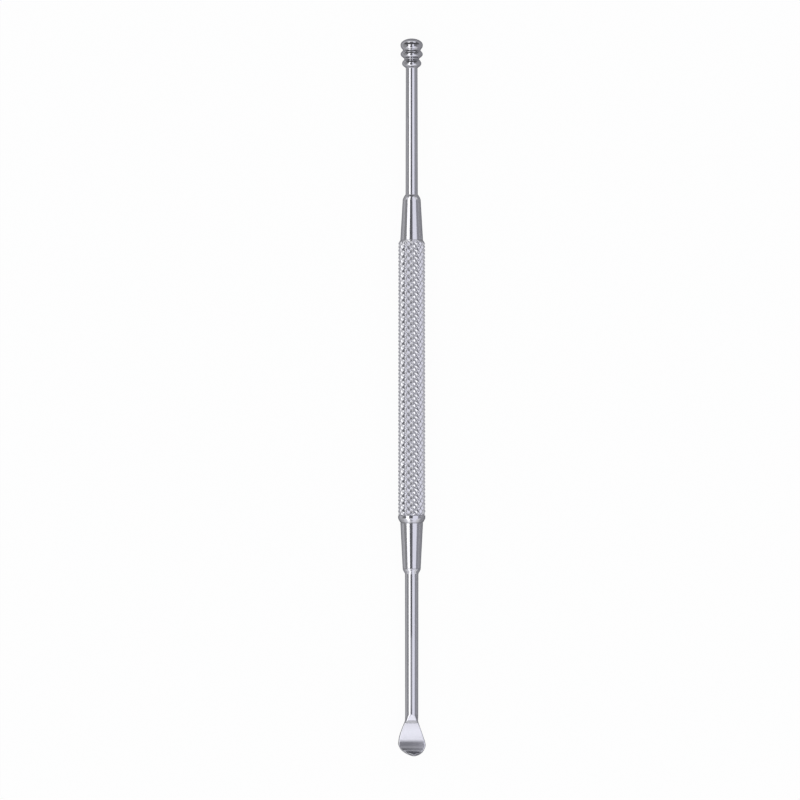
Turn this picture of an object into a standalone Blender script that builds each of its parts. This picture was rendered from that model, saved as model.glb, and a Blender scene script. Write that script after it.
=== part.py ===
"""Double-ended ear pick in stainless steel, modelled piece by piece at its real size.

A knurled grip tube holds a tapered collar in each end. One collar carries the ringed tip and
the other carries the scoop tip, and every piece is pressed into the next. The tool lies along
Y, as it would on a table, with the ringed head towards +Y and the hollow of the scoop facing +Z.
The origin is under the middle of the tool, on the surface that it lies on.
"""

import math
from typing import NamedTuple

import bmesh
import bpy
from mathutils import Matrix

MM = 0.001

# Fits between the pressed pieces
FIT_CLEARANCE = 0.03 * MM
SEAT_GAP = 0.03 * MM
LEAD_IN = 0.2 * MM

# Knurled grip
GRIP_LENGTH = 51.2 * MM
GRIP_DIAMETER = 5.0 * MM
GRIP_WALL = 0.52 * MM
GRIP_CHAMFER = 0.75 * MM
KNURL_DEPTH = 0.28 * MM
KNURL_PITCH_AROUND = 0.98 * MM
KNURL_PITCH_ALONG = 1.31 * MM
PLAIN_BAND_LENGTH = 0.6 * MM

# Tapered collars
COLLAR_STEP = 0.45 * MM
COLLAR_NOSE_DIAMETER = 3.26 * MM
SPIGOT_LENGTH = 6.0 * MM
BORE_SPARE_DEPTH = 0.5 * MM
RING_CONE_LENGTH = 7.22 * MM
RING_NOSE_LENGTH = 1.0 * MM
SCOOP_CONE_LENGTH = 8.3 * MM

# Ringed tip
RING_SHANK_LENGTH = 7.0 * MM
RING_SHAFT_LENGTH = 22.88 * MM
RING_SHAFT_DIAMETER = 2.21 * MM
RING_NECK_DIAMETER = 2.11 * MM

# Rings of the head, from the dome down to the neck
DOME_RING_DIAMETER = 4.04 * MM
DOME_RING_ABOVE = 1.18 * MM
DOME_RING_BELOW = 0.96 * MM
DOME_NOTCH_DIAMETER = 3.2 * MM
MIDDLE_RING_DIAMETER = 4.0 * MM
MIDDLE_RING_ABOVE = 0.73 * MM
MIDDLE_RING_BELOW = 0.85 * MM
MIDDLE_NOTCH_DIAMETER = 2.68 * MM
LAST_RING_DIAMETER = 3.48 * MM
LAST_RING_ABOVE = 0.78 * MM
LAST_RING_BELOW = 0.9 * MM


class Ring(NamedTuple):
    """One rounded ring of the head, from its widest line up and down to its notches."""

    diameter: float
    above: float
    below: float
    notch_diameter: float


HEAD_RINGS = (
    Ring(DOME_RING_DIAMETER, DOME_RING_ABOVE, DOME_RING_BELOW, DOME_NOTCH_DIAMETER),
    Ring(MIDDLE_RING_DIAMETER, MIDDLE_RING_ABOVE, MIDDLE_RING_BELOW, MIDDLE_NOTCH_DIAMETER),
    Ring(LAST_RING_DIAMETER, LAST_RING_ABOVE, LAST_RING_BELOW, RING_NECK_DIAMETER),
)

# Scoop tip
SCOOP_SHANK_LENGTH = 7.0 * MM
SCOOP_SHANK_DIAMETER = 2.0 * MM
SCOOP_SHOULDER_LENGTH = 1.0 * MM
SCOOP_SHAFT_LENGTH = 25.35 * MM
SCOOP_SHAFT_DIAMETER = 2.43 * MM
SCOOP_NECK_DIAMETER = 2.37 * MM
SCOOP_WIDTH = 5.0 * MM
SCOOP_ENTRY_LENGTH = 0.9 * MM
SCOOP_ENTRY_ANGLE = math.radians(25)
SCOOP_RAMP_LENGTH = 3.9 * MM
SCOOP_RAMP_ANGLE = math.radians(17)
SCOOP_BELLY_LENGTH = 0.63 * MM
SCOOP_CURL_RADIUS = 1.84 * MM
SCOOP_CURL_ANGLE = math.radians(68)
SCOOP_BLADE_THICKNESS = 0.62 * MM
SCOOP_RIM_THICKNESS = 0.45 * MM
SCOOP_EDGE_DEPTH = 0.15 * MM

# Shares that shape the scoop
FLARE_LINEAR_SHARE = 0.5
FLARE_POWER = 1.2
ROUND_FULLNESS = 2.0
BLADE_FULLNESS = 2.8
RIM_FULLNESS = 5.0
TIP_OUTLINE_ANGLE = math.radians(82)
NOSE_POWER = 1.5

# Facets
TURN_STEPS = 32
ARC_STEPS = 4
DOME_STEPS = 6
RAMP_STEPS = 6
CURL_STEPS = 8
MERGE_DISTANCE = 0.001 * MM
CUT_OVERRUN = 1.0 * MM
SHARP_ANGLE = math.radians(35)

# Sizes that follow from the ones above
GRIP_RADIUS = GRIP_DIAMETER / 2
KNURL_TEETH = max(round(math.tau * GRIP_RADIUS / KNURL_PITCH_AROUND), 3)
PLAIN_END_LENGTH = PLAIN_BAND_LENGTH + GRIP_CHAMFER
KNURL_LENGTH = GRIP_LENGTH - PLAIN_END_LENGTH
KNURL_ROWS = max(round(KNURL_LENGTH / KNURL_PITCH_ALONG), 2)
KNURL_ROOT_RADIUS = GRIP_RADIUS - KNURL_DEPTH
GRIP_BORE_RADIUS = KNURL_ROOT_RADIUS - GRIP_WALL
COLLAR_BASE_RADIUS = GRIP_RADIUS - COLLAR_STEP
COLLAR_NOSE_RADIUS = COLLAR_NOSE_DIAMETER / 2
SPIGOT_RADIUS = GRIP_BORE_RADIUS - FIT_CLEARANCE
RING_COLLAR_LENGTH = RING_CONE_LENGTH + RING_NOSE_LENGTH
RING_SHANK_RADIUS = RING_SHAFT_DIAMETER / 2
SCOOP_SHANK_RADIUS = SCOOP_SHANK_DIAMETER / 2
SCOOP_NECK_RADIUS = SCOOP_NECK_DIAMETER / 2
SCOOP_NECK_REACH = SCOOP_SHOULDER_LENGTH + SCOOP_SHAFT_LENGTH
RAMP_END = SCOOP_ENTRY_LENGTH + SCOOP_RAMP_LENGTH
WIDEST_REACH = RAMP_END + SCOOP_BELLY_LENGTH / 2
CURL_START = RAMP_END + SCOOP_BELLY_LENGTH
ENTRY_DROP = SCOOP_ENTRY_LENGTH * math.tan(SCOOP_ENTRY_ANGLE)
RAMP_DROP = SCOOP_RAMP_LENGTH * math.tan(SCOOP_RAMP_ANGLE)
BELLY_UP = SCOOP_NECK_RADIUS - ENTRY_DROP - RAMP_DROP
TIP_RADIUS = SCOOP_CURL_RADIUS + SCOOP_RIM_THICKNESS
CURL_REACH = TIP_RADIUS * math.sin(SCOOP_CURL_ANGLE)
SCOOP_LENGTH = CURL_START + CURL_REACH
HEAD_LENGTH = sum(ring.above + ring.below for ring in HEAD_RINGS)

# Places along the tool, with zero at the middle of its whole length
RING_END_REACH = SEAT_GAP + RING_COLLAR_LENGTH + RING_SHAFT_LENGTH + HEAD_LENGTH
SCOOP_END_REACH = SEAT_GAP + SCOOP_CONE_LENGTH + SEAT_GAP + SCOOP_NECK_REACH + SCOOP_LENGTH
GRIP_CENTRE = (SCOOP_END_REACH - RING_END_REACH) / 2
RING_COLLAR_PLACE = GRIP_CENTRE + GRIP_LENGTH / 2 + SEAT_GAP
RING_TIP_PLACE = RING_COLLAR_PLACE + RING_COLLAR_LENGTH
SCOOP_COLLAR_PLACE = GRIP_CENTRE - GRIP_LENGTH / 2 - SEAT_GAP
SCOOP_TIP_PLACE = SCOOP_COLLAR_PLACE - SCOOP_CONE_LENGTH - SEAT_GAP

STEEL = (0.74, 0.74, 0.77, 1.0)
DARK_STEEL = (0.66, 0.66, 0.7, 1.0)


class Section(NamedTuple):
    """One cross-section of the scoop: a superellipse cut flat by the scoop's front.

    widest_depth is the depth of its widest line below the front.
    """

    reach: float
    front_up: float
    tilt: float
    thickness: float
    half_width: float
    widest_depth: float
    fullness: float


def clear_scene():
    """Removes every object that the new scene starts with."""
    for obj in list(bpy.data.objects):
        bpy.data.objects.remove(obj)


def new_collection(name):
    """Adds a collection to the scene."""
    collection = bpy.data.collections.new(name)
    bpy.context.scene.collection.children.link(collection)
    return collection


def steel(name, color, roughness):
    """Makes a bare steel material."""
    material = bpy.data.materials.new(name)
    material.use_nodes = True
    shader = material.node_tree.nodes["Principled BSDF"]
    shader.inputs["Base Color"].default_value = color
    shader.inputs["Metallic"].default_value = 1.0
    shader.inputs["Roughness"].default_value = roughness
    return material


def smooth_share(share):
    """Eases a share from 0 to 1, level at both ends."""
    held = min(max(share, 0), 1)
    return held * held * (3 - 2 * held)


def turned_mesh(name, profile):
    """Turns a profile of (radius, height) points, which runs down its outer side, about Z."""
    outline = bpy.data.meshes.new(name + "_outline")
    points = [(radius, 0, height) for radius, height in profile]
    edges = [(index, index + 1) for index in range(len(points) - 1)]
    outline.from_pydata(points, edges, [])
    blank = bpy.data.objects.new(name + "_blank", outline)
    bpy.context.scene.collection.objects.link(blank)
    screw = blank.modifiers.new("Turn", "SCREW")
    screw.axis = "Z"
    screw.steps = TURN_STEPS
    screw.render_steps = TURN_STEPS
    screw.use_merge_vertices = True
    screw.merge_threshold = MERGE_DISTANCE
    mesh = settled_mesh(blank, name)
    bpy.data.objects.remove(blank)
    return mesh


def settled_mesh(obj, name):
    """Returns a new mesh with the object's modifiers worked in."""
    graph = bpy.context.evaluated_depsgraph_get()
    mesh = bpy.data.meshes.new_from_object(obj.evaluated_get(graph))
    mesh.name = name
    return mesh


def add_piece(name, mesh, material, collection, axis, place, outward):
    """Seats a piece on the tool's axis.

    outward is 1 for a piece whose own +Z points to the ringed end, and -1 for the scoop end.
    """
    mesh.shade_smooth()
    mesh.set_sharp_from_angle(angle=SHARP_ANGLE)
    mesh.materials.clear()
    mesh.materials.append(material)
    piece = bpy.data.objects.new(name, mesh)
    collection.objects.link(piece)
    piece.parent = axis
    piece.location = (0, 0, place)
    piece.rotation_euler = (0 if outward > 0 else math.pi, 0, 0)
    return piece


def knurled_blank():
    """Makes the grip's outer form: a closed cylinder whose side is a net of pyramids.

    A grid on the cylinder is poked and its own edges are dissolved, which leaves diamonds.
    Each diamond is poked again, and its middle is raised to the crest. One line of crests is
    straight below the tool's axis, and the tool lies on it. The knurl runs over the chamfer at
    the ringed end, and stops short of the scoop end.
    """
    work = bmesh.new()
    bmesh.ops.create_cone(
        work,
        cap_ends=True,
        segments=KNURL_TEETH,
        radius1=KNURL_ROOT_RADIUS,
        radius2=KNURL_ROOT_RADIUS,
        depth=KNURL_LENGTH,
        matrix=Matrix.Translation((0, 0, PLAIN_END_LENGTH / 2)),
    )
    work.normal_update()
    uprights = [edge for edge in work.edges if edge.verts[0].co.z * edge.verts[1].co.z < 0]
    bmesh.ops.subdivide_edges(work, edges=uprights, cuts=KNURL_ROWS - 1, use_grid_fill=True)
    side = [face for face in work.faces if len(face.verts) == 4]
    grid = [edge for edge in work.edges if all(len(face.verts) == 4 for face in edge.link_faces)]
    middles = bmesh.ops.poke(work, faces=side)["verts"]
    set_radius(middles, KNURL_ROOT_RADIUS)
    bmesh.ops.dissolve_edges(work, edges=grid)
    diamonds = [face for face in work.faces if len(face.verts) == 4]
    crests = bmesh.ops.poke(work, faces=diamonds)["verts"]
    set_radius(crests, GRIP_RADIUS)
    slope = (GRIP_RADIUS - COLLAR_BASE_RADIUS) / GRIP_CHAMFER
    for vert in work.verts:
        inset = GRIP_LENGTH / 2 - vert.co.z
        limit = COLLAR_BASE_RADIUS + inset * slope
        if math.hypot(vert.co.x, vert.co.y) > limit:
            set_radius([vert], limit)
    add_plain_end(work)
    mesh = bpy.data.meshes.new("knurled_blank")
    work.to_mesh(mesh)
    work.free()
    return mesh


def add_plain_end(work):
    """Adds the smooth band and chamfer that close the grip's blank at the scoop end.

    The band is as wide as the crests, so the tool lies on both.
    """
    end = -GRIP_LENGTH / 2
    cap = min(work.faces, key=lambda face: face.calc_center_median().z)
    rim = list(cap.edges)
    bmesh.ops.delete(work, geom=[cap], context="FACES_ONLY")
    bmesh.ops.subdivide_edges(work, edges=rim, cuts=1)
    rim = [edge for edge in work.edges if edge.is_boundary]
    outline = [
        (GRIP_RADIUS, end + PLAIN_END_LENGTH),
        (GRIP_RADIUS, end + GRIP_CHAMFER),
        (COLLAR_BASE_RADIUS, end),
    ]
    for radius, height in outline:
        grown = bmesh.ops.extrude_edge_only(work, edges=rim)["geom"]
        rim = [item for item in grown if isinstance(item, bmesh.types.BMEdge) and item.is_boundary]
        verts = [item for item in grown if isinstance(item, bmesh.types.BMVert)]
        set_radius(verts, radius)
        for vert in verts:
            vert.co.z = height
    bmesh.ops.edgeloop_fill(work, edges=rim)
    bmesh.ops.recalc_face_normals(work, faces=work.faces)


def set_radius(verts, radius):
    """Moves points straight in or out to a radius about Z."""
    for vert in verts:
        scale = radius / math.hypot(vert.co.x, vert.co.y)
        vert.co.x *= scale
        vert.co.y *= scale


def knurled_grip(collection, cutters, axis):
    """Adds the grip: the knurled blank with a bore right through it."""
    bore = bmesh.new()
    bmesh.ops.create_cone(
        bore,
        cap_ends=True,
        segments=TURN_STEPS,
        radius1=GRIP_BORE_RADIUS,
        radius2=GRIP_BORE_RADIUS,
        depth=GRIP_LENGTH + 2 * CUT_OVERRUN,
    )
    bore_mesh = bpy.data.meshes.new("grip_bore")
    bore.to_mesh(bore_mesh)
    bore.free()
    cutter = bpy.data.objects.new("grip_bore", bore_mesh)
    cutters.objects.link(cutter)
    cutter.parent = axis
    cutter.location = (0, 0, GRIP_CENTRE)
    cutter.hide_render = True
    cutter.display_type = "WIRE"
    material = steel("grip_steel", DARK_STEEL, 0.28)
    grip = add_piece("knurled_grip", knurled_blank(), material, collection, axis, GRIP_CENTRE, 1)
    cut = grip.modifiers.new("Bore", "BOOLEAN")
    cut.operation = "DIFFERENCE"
    cut.solver = "EXACT"
    cut.object = cutter
    return grip


def collar_profile(cone_length, nose_length, tip_radius, shank_length):
    """Gives a collar's outline: bore, nose, cone, seat and spigot.

    Its seat on the grip's end is at height zero. A nose length of zero leaves a flat end.
    """
    bore_radius = tip_radius + FIT_CLEARANCE
    length = cone_length + nose_length
    bore_floor = length - shank_length - BORE_SPARE_DEPTH
    profile = [(0, bore_floor), (bore_radius, bore_floor)]
    lip = COLLAR_NOSE_RADIUS - bore_radius
    if nose_length > 0:
        for step in range(ARC_STEPS):
            share = 1 - step / ARC_STEPS
            radius = bore_radius + lip * (1 - share**NOSE_POWER)
            profile.append((radius, cone_length + nose_length * share))
    else:
        profile.append((bore_radius, length))
    profile.append((COLLAR_NOSE_RADIUS, cone_length))
    profile.append((COLLAR_BASE_RADIUS, 0))
    profile.append((SPIGOT_RADIUS, 0))
    profile.append((SPIGOT_RADIUS, LEAD_IN - SPIGOT_LENGTH))
    profile.append((SPIGOT_RADIUS - LEAD_IN, -SPIGOT_LENGTH))
    profile.append((0, -SPIGOT_LENGTH))
    return profile


def ring_collar(collection, axis):
    """Adds the collar that holds the ringed tip."""
    profile = collar_profile(
        RING_CONE_LENGTH, RING_NOSE_LENGTH, RING_SHANK_RADIUS, RING_SHANK_LENGTH
    )
    mesh = turned_mesh("ring_collar", profile)
    material = steel("ring_collar_steel", STEEL, 0.14)
    return add_piece("ring_collar", mesh, material, collection, axis, RING_COLLAR_PLACE, 1)


def scoop_collar(collection, axis):
    """Adds the collar that holds the scoop tip."""
    profile = collar_profile(SCOOP_CONE_LENGTH, 0, SCOOP_SHANK_RADIUS, SCOOP_SHANK_LENGTH)
    mesh = turned_mesh("scoop_collar", profile)
    material = steel("scoop_collar_steel", STEEL, 0.14)
    return add_piece("scoop_collar", mesh, material, collection, axis, SCOOP_COLLAR_PLACE, -1)


def head_profile(top):
    """Gives the ringed head's outline, from the dome's middle down to the shaft's neck."""
    profile = []
    height = top
    upper_radius = 0
    for ring in HEAD_RINGS:
        widest = height - ring.above
        radius = ring.diameter / 2
        notch_radius = ring.notch_diameter / 2
        steps = ARC_STEPS if profile else DOME_STEPS
        for step in range(steps):
            turn = math.pi / 2 * step / steps
            rise = ring.above * math.cos(turn)
            spread = (radius - upper_radius) * math.sin(turn)
            profile.append((upper_radius + spread, widest + rise))
        for step in range(ARC_STEPS):
            turn = math.pi / 2 * step / ARC_STEPS
            fall = ring.below * math.sin(turn)
            spread = (radius - notch_radius) * math.cos(turn)
            profile.append((notch_radius + spread, widest - fall))
        height = widest - ring.below
        upper_radius = notch_radius
    return profile


def ring_tip(collection, axis):
    """Adds the ringed tip: head, slim shaft and the shank that is pressed into its collar."""
    profile = head_profile(RING_SHAFT_LENGTH + HEAD_LENGTH)
    profile.append((RING_NECK_DIAMETER / 2, RING_SHAFT_LENGTH))
    profile.append((RING_SHANK_RADIUS, 0))
    profile.append((RING_SHANK_RADIUS, LEAD_IN - RING_SHANK_LENGTH))
    profile.append((RING_SHANK_RADIUS - LEAD_IN, -RING_SHANK_LENGTH))
    profile.append((0, -RING_SHANK_LENGTH))
    mesh = turned_mesh("ring_tip", profile)
    material = steel("ring_tip_steel", STEEL, 0.12)
    return add_piece("ring_tip", mesh, material, collection, axis, RING_TIP_PLACE, 1)


def scoop_shank_profile():
    """Gives the scoop tip's turned half, from its open neck down to the end of the shank."""
    shaft_radius = SCOOP_SHAFT_DIAMETER / 2
    profile = [(SCOOP_NECK_RADIUS, SCOOP_NECK_REACH)]
    for step in range(ARC_STEPS + 1):
        share = step / ARC_STEPS
        radius = shaft_radius + (COLLAR_NOSE_RADIUS - shaft_radius) * smooth_share(share)
        profile.append((radius, SCOOP_SHOULDER_LENGTH * (1 - share)))
    profile.append((SCOOP_SHANK_RADIUS, 0))
    profile.append((SCOOP_SHANK_RADIUS, LEAD_IN - SCOOP_SHANK_LENGTH))
    profile.append((SCOOP_SHANK_RADIUS - LEAD_IN, -SCOOP_SHANK_LENGTH))
    profile.append((0, -SCOOP_SHANK_LENGTH))
    return profile


def front_drop(reach):
    """Tells how far the scoop's front lies below the top of the neck."""
    entry = min(reach, SCOOP_ENTRY_LENGTH)
    ramp = min(max(reach - SCOOP_ENTRY_LENGTH, 0), SCOOP_RAMP_LENGTH)
    return entry * math.tan(SCOOP_ENTRY_ANGLE) + ramp * math.tan(SCOOP_RAMP_ANGLE)


def flare_half_width(reach):
    """Gives half the scoop's width between its neck and its widest line."""
    share = (reach - SCOOP_ENTRY_LENGTH) / (WIDEST_REACH - SCOOP_ENTRY_LENGTH)
    held = min(max(share, 0), 1)
    curved = math.sin(math.pi / 2 * held) ** FLARE_POWER
    flare_share = FLARE_LINEAR_SHARE * held + (1 - FLARE_LINEAR_SHARE) * curved
    return SCOOP_NECK_RADIUS + (SCOOP_WIDTH / 2 - SCOOP_NECK_RADIUS) * flare_share


def flare_section(reach):
    """Gives the section at a reach on the pressed-flat ramp or the belly."""
    share = smooth_share(reach / RAMP_END)
    front_up = SCOOP_NECK_RADIUS - front_drop(reach)
    back_up = (BELLY_UP - SCOOP_BLADE_THICKNESS) * share - SCOOP_NECK_RADIUS * (1 - share)
    half_width = flare_half_width(reach)
    if reach > WIDEST_REACH:
        half_width = tip_half_width(tip_outline_angle(reach - WIDEST_REACH))
    return Section(
        reach=SCOOP_NECK_REACH + reach,
        front_up=front_up,
        tilt=0,
        thickness=front_up - back_up,
        half_width=half_width,
        widest_depth=max(front_up, SCOOP_EDGE_DEPTH),
        fullness=ROUND_FULLNESS * (1 - share) + BLADE_FULLNESS * share,
    )


def tip_outline_angle(distance):
    """Gives the angle on the tip's elliptical outline at a distance past the widest line."""
    full = SCOOP_LENGTH - WIDEST_REACH
    return math.asin(math.sin(TIP_OUTLINE_ANGLE) * distance / full)


def tip_half_width(outline_angle):
    """Gives half the scoop's width on the elliptical outline of its tip."""
    return SCOOP_WIDTH / 2 * math.cos(outline_angle)


def curl_section(outline_angle):
    """Gives the section where the curl crosses an angle of the tip's outline."""
    full = SCOOP_LENGTH - WIDEST_REACH
    distance = full * math.sin(outline_angle) / math.sin(TIP_OUTLINE_ANGLE)
    tilt = math.asin(min((distance - SCOOP_BELLY_LENGTH / 2) / TIP_RADIUS, 1))
    share = tilt / SCOOP_CURL_ANGLE
    thickness = SCOOP_BLADE_THICKNESS * (1 - share) + SCOOP_RIM_THICKNESS * share
    return Section(
        reach=SCOOP_NECK_REACH + CURL_START + SCOOP_CURL_RADIUS * math.sin(tilt),
        front_up=BELLY_UP + SCOOP_CURL_RADIUS * (1 - math.cos(tilt)),
        tilt=tilt,
        thickness=thickness,
        half_width=tip_half_width(outline_angle),
        widest_depth=SCOOP_EDGE_DEPTH,
        fullness=BLADE_FULLNESS * (1 - share) + RIM_FULLNESS * share,
    )


def scoop_sections():
    """Lists the scoop's sections from just past its neck to its tip.

    Along the entry they stand where the front plane crosses the neck's own facets.
    """
    sections = []
    for step in range(1, TURN_STEPS // 4):
        sink = SCOOP_NECK_RADIUS * (1 - math.cos(math.tau * step / TURN_STEPS))
        reach = sink / math.tan(SCOOP_ENTRY_ANGLE)
        if reach < SCOOP_ENTRY_LENGTH:
            sections.append(flare_section(reach))
    for step in range(RAMP_STEPS + 1):
        reach = SCOOP_ENTRY_LENGTH + SCOOP_RAMP_LENGTH * step / RAMP_STEPS
        sections.append(flare_section(reach))
    sections.append(flare_section(WIDEST_REACH))
    sections.append(flare_section(CURL_START))
    first = tip_outline_angle(CURL_START - WIDEST_REACH)
    for step in range(1, CURL_STEPS + 1):
        sections.append(curl_section(first + (TIP_OUTLINE_ANGLE - first) * step / CURL_STEPS))
    return sections


def section_point(section, angle):
    """Places the point of a section at an angle round it, as across, up and along."""
    power = 2 / section.fullness
    across = math.copysign(abs(math.cos(angle)) ** power, math.cos(angle))
    rise = math.copysign(abs(math.sin(angle)) ** power, math.sin(angle))
    half_height = section.thickness - section.widest_depth
    depth = max(section.widest_depth - half_height * rise, 0)
    up = section.front_up - depth * math.cos(section.tilt)
    along = section.reach + depth * math.sin(section.tilt)
    return (section.half_width * across, up, along)


def split_in_mirror(work):
    """Cuts the faces into triangles that are mirror images across the tool's middle plane."""
    right = [face for face in work.faces if face.calc_center_median().x > 0]
    left = [face for face in work.faces if face.calc_center_median().x <= 0]
    bmesh.ops.triangulate(work, faces=right, quad_method="ALTERNATE")
    bmesh.ops.triangulate(work, faces=left, quad_method="FIXED")


def scoop_tip(collection, axis):
    """Adds the scoop tip: the turned shank and shaft, whose open neck is drawn into the scoop."""
    shank = turned_mesh("scoop_shank", scoop_shank_profile())
    work = bmesh.new()
    work.from_mesh(shank)
    rim = [edge for edge in work.edges if edge.is_boundary]
    angles = {vert: math.atan2(vert.co.y, vert.co.x) for edge in rim for vert in edge.verts}
    for section in scoop_sections():
        grown = bmesh.ops.extrude_edge_only(work, edges=rim)["geom"]
        rim = [item for item in grown if isinstance(item, bmesh.types.BMEdge) and item.is_boundary]
        new_angles = {}
        for vert in (item for item in grown if isinstance(item, bmesh.types.BMVert)):
            for edge in vert.link_edges:
                if edge.other_vert(vert) in angles:
                    new_angles[vert] = angles[edge.other_vert(vert)]
        for vert, angle in new_angles.items():
            vert.co = section_point(section, angle)
        angles = new_angles
    bmesh.ops.edgeloop_fill(work, edges=rim)
    bmesh.ops.recalc_face_normals(work, faces=work.faces)
    split_in_mirror(work)
    mesh = bpy.data.meshes.new("scoop_tip")
    work.to_mesh(mesh)
    work.free()
    bpy.data.meshes.remove(shank)
    material = steel("scoop_tip_steel", STEEL, 0.12)
    return add_piece("scoop_tip", mesh, material, collection, axis, SCOOP_TIP_PLACE, -1)


def tool_axis(collection):
    """Adds the empty that every piece is seated on: its +Z runs along the tool to the rings."""
    axis = bpy.data.objects.new("tool_axis", None)
    collection.objects.link(axis)
    axis.location = (0, 0, GRIP_RADIUS)
    axis.rotation_euler = (-math.pi / 2, 0, 0)
    return axis


def main():
    """Builds the ear pick."""
    clear_scene()
    collection = new_collection("ear_pick")
    cutters = new_collection("cutters")
    axis = tool_axis(collection)
    knurled_grip(collection, cutters, axis)
    ring_collar(collection, axis)
    scoop_collar(collection, axis)
    ring_tip(collection, axis)
    scoop_tip(collection, axis)
    bpy.context.view_layer.update()


main()
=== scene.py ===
"""Double-ended steel ear pick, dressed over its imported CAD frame.

The tool lies along Y on a pale floor, with the ringed head towards +Y and the hollow of the
scoop facing up. Five new pieces stand for the five CAD nodes: the knurled grip tube, the two
tapered collars pressed into it, and the two slim tips pressed into the collars. Each piece is
a closed solid in metres, and each finish is a procedural steel.
"""

import enum
import logging
import math
import random
from collections.abc import Callable, Mapping, Sequence
from dataclasses import dataclass
from typing import NamedTuple

import bmesh
import bpy
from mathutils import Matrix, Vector


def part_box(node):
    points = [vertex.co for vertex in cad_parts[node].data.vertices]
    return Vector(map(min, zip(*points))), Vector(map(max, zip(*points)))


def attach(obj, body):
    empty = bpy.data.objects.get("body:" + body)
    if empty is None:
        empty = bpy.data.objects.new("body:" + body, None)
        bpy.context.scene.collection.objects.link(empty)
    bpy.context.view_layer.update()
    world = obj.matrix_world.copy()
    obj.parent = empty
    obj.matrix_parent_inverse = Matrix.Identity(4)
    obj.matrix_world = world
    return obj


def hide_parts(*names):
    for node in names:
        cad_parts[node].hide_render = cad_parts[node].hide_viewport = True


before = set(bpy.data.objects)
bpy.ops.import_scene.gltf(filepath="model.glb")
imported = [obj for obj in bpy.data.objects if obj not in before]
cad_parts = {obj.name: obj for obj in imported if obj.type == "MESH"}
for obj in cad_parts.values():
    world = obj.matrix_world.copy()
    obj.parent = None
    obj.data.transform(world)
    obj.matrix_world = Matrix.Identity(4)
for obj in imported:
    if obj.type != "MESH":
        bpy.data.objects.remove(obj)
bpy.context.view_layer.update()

LOG = logging.getLogger("ear_pick")
MM = 0.001
AXIS_HEIGHT = 2.5 * MM
SIDES = 144
POLE_RADIUS = 0.001 * MM
WELD_DISTANCE = 0.0005 * MM
FILLET_LIMIT = 0.45
FILLET_HOLD = 1.25
SHARP_ANGLE = math.radians(38)

Tone = tuple[float, float, float, float]
Outline = list[tuple[float, float]]
WHITE: Tone = (1.0, 1.0, 1.0, 1.0)


class Facing(enum.Enum):
    """The end of the tool that a piece points to."""

    RINGED = 1
    SCOOP = -1


class Grain(enum.Enum):
    """The way that the fine marks of a finish run."""

    LENGTHWISE = (1.0, 0.018, 1.0)
    ROUND = (0.03, 1.0, 0.03)


class Slot(enum.Enum):
    """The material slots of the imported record."""

    KNURLED = "knurled_steel"
    TURNED = "turned_steel"
    POLISHED = "polished_steel"


# Shader sheets.


class Value:
    """A socket of a sheet. Python's operators on it add Math nodes."""

    def __init__(self, sheet: "Sheet", socket: bpy.types.NodeSocket) -> None:
        """Keeps the socket and the sheet that it is on."""
        self.sheet = sheet
        self.socket = socket

    def math(self, operation: str, *feeds: "Value | float") -> "Value":
        """Adds a Math node.

        Args:
            operation: the node's operation.
            feeds: what goes into its sockets, in order.

        Returns:
            The node's result.
        """
        return self.sheet.add("ShaderNodeMath", {"operation": operation}, dict(enumerate(feeds)))

    def __add__(self, other: "Value | float") -> "Value":
        """Adds a value or a number."""
        return self.math("ADD", self, other)

    def __radd__(self, other: float) -> "Value":
        """Adds this value to a number."""
        return self.math("ADD", other, self)

    def __sub__(self, other: "Value | float") -> "Value":
        """Takes a value or a number away."""
        return self.math("SUBTRACT", self, other)

    def __rsub__(self, other: float) -> "Value":
        """Takes this value away from a number."""
        return self.math("SUBTRACT", other, self)

    def __mul__(self, other: "Value | float") -> "Value":
        """Multiplies by a value or a number."""
        return self.math("MULTIPLY", self, other)

    def __rmul__(self, other: float) -> "Value":
        """Multiplies a number by this value."""
        return self.math("MULTIPLY", other, self)

    def root(self) -> "Value":
        """Gives the square root."""
        return self.math("SQRT", self)

    def size(self) -> "Value":
        """Gives the value without its sign."""
        return self.math("ABSOLUTE", self)

    def most(self, other: "Value | float") -> "Value":
        """Gives the greater of this value and another."""
        return self.math("MAXIMUM", self, other)

    def step(self, start: float, end: float) -> "Value":
        """Eases from 0 at the start to 1 at the end.

        Args:
            start: the value that gives 0.
            end: the value that gives 1. It may be the lower of the two.

        Returns:
            The eased value.
        """
        return self.sheet.add(
            "ShaderNodeMapRange",
            {"interpolation_type": "SMOOTHSTEP"},
            {"Value": self, "From Min": start, "From Max": end, "To Min": 0.0, "To Max": 1.0},
        )


Feed = Value | float | Sequence[float]


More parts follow.
